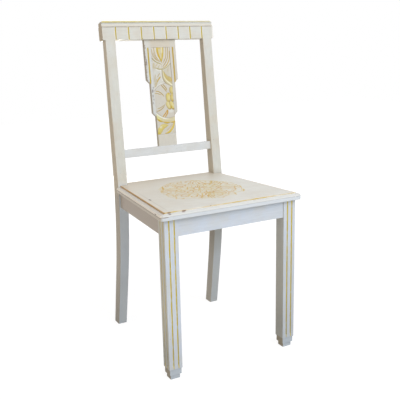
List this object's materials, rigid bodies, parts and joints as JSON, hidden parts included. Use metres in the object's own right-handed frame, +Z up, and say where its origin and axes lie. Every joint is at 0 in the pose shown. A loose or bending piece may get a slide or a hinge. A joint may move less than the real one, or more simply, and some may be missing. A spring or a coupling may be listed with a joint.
{
  "type": "side chair",
  "caption": "Painted wooden side chair with a stepped, carved splat, a moulded block-front crest rail, fluted front legs with stepped feet and a raised panel seat.",
  "frame": {"origin": "on the floor, in the middle of the chair's width and of its whole depth", "axes": "+Z up, the chair faces -Y, +X to the right in a view from the front"},
  "size_m": [0.4236, 0.446, 0.9199],
  "materials": {
    "cream_paint": "old brushed cream oil paint on beech, with gold-bronze lines in grooves and on the crest",
    "seat_paint": "old cream paint on plywood, with a painted scroll medallion and a worn gold edge",
    "bare_beech": "bare steamed beech",
    "screw_steel": "dull zinc-plated steel"
  },
  "bodies": {
    "root": {"crest_rail": "cream_paint", "back_splat": "cream_paint", "lower_back_rail": "cream_paint", "left_back_post": "cream_paint", "right_back_post": "cream_paint", "front_left_leg": "cream_paint", "front_right_leg": "cream_paint", "front_apron": "cream_paint", "rear_apron": "cream_paint", "left_apron": "cream_paint", "right_apron": "cream_paint", "seat_frame_front": "cream_paint", "seat_frame_rear": "cream_paint", "seat_frame_left": "cream_paint", "seat_frame_right": "cream_paint", "seat_panel": "seat_paint", "front_left_corner_block": "bare_beech", "front_right_corner_block": "bare_beech", "rear_left_corner_block": "bare_beech", "rear_right_corner_block": "bare_beech", "seat_screws": "screw_steel", "seat_frame_tongues": "bare_beech"}
  },
  "joints": []
}
